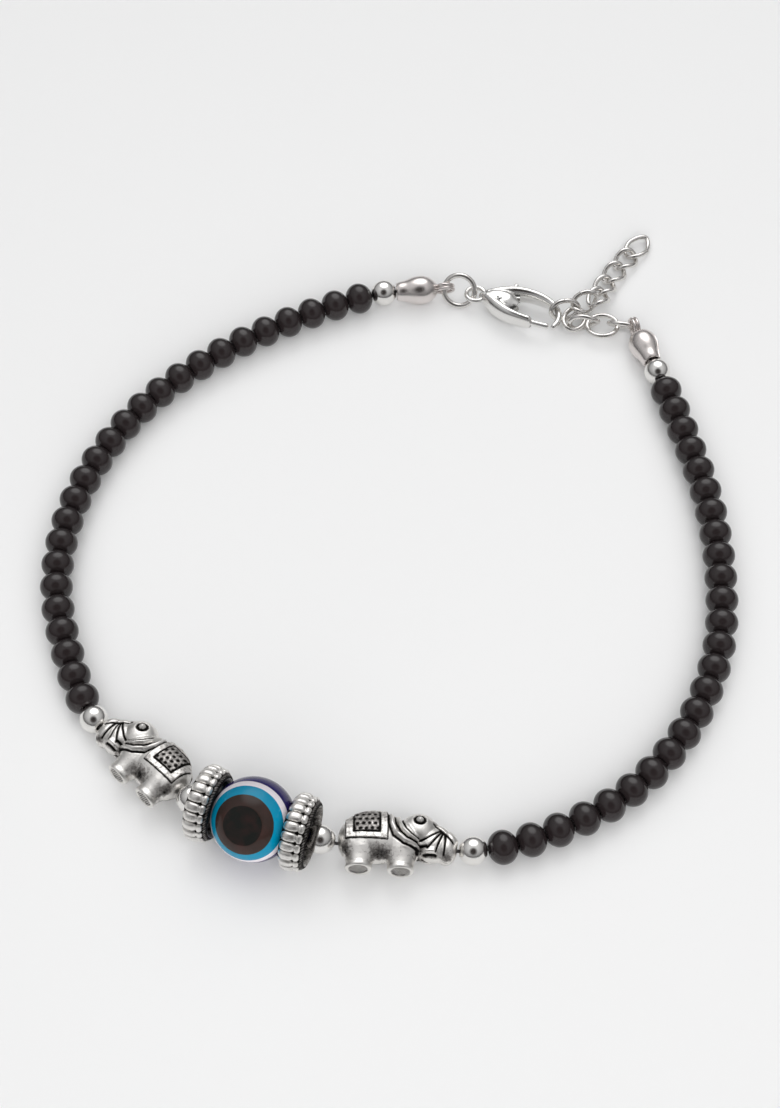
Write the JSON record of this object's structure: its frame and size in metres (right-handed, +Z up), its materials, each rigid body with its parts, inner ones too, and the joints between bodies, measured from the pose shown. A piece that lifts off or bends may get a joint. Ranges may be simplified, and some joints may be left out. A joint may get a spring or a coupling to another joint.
{
  "type": "payal anklet",
  "caption": "Beaded payal anklet: black round beads, antique silver elephants and fluted rondelles round an eye bead, with a lobster clasp and an extension chain.",
  "frame": {"origin": "on the surface the anklet lies on, below the middle of its box", "axes": "+X along the front from the left bead string to the right one, +Y from the eye bead to the clasp, +Z up"},
  "size_m": [0.0844, 0.101, 0.0097],
  "materials": {
    "black_beads": "polished black, opaque",
    "silver_balls": "bright polished plating",
    "antique_silver": "cast, worn bright on top and dark in the grooves",
    "calottes": "plated pressed sheet",
    "eye_bead": "polished layered resin",
    "clasp": "bright polished plating",
    "links": "plated wire"
  },
  "bodies": {
    "root": {"bead_string_right": "black_beads", "bead_string_left": "black_beads", "silver_ball_1": "silver_balls", "silver_ball_2": "silver_balls", "silver_ball_3": "silver_balls", "silver_ball_4": "silver_balls", "silver_ball_5": "silver_balls", "silver_ball_6": "silver_balls", "rondelle_right": "antique_silver", "rondelle_left": "antique_silver", "elephant_right": "antique_silver", "elephant_left": "antique_silver", "calotte_right": "calottes", "calotte_left": "calottes", "eye_bead": "eye_bead", "jump_ring": "links", "clasp_body": "clasp", "chain_link_01": "links", "chain_link_02": "links", "chain_link_03": "links", "chain_link_04": "links", "chain_link_05": "links", "chain_link_06": "links", "chain_link_07": "links", "chain_link_08": "links", "chain_link_09": "links", "chain_link_10": "links", "chain_link_11": "links"},
    "lever": {"clasp_lever": "clasp"}
  },
  "joints": [
    {"name": "clasp_lever_hinge", "type": "hinge", "parent": "root", "child": "lever", "pos_m": [0.01456, 0.037, 0.00185], "axis": [0, 0, 1], "range_deg": [0, 13], "stiffness_Nm_per_rad": 0.002}
  ]
}
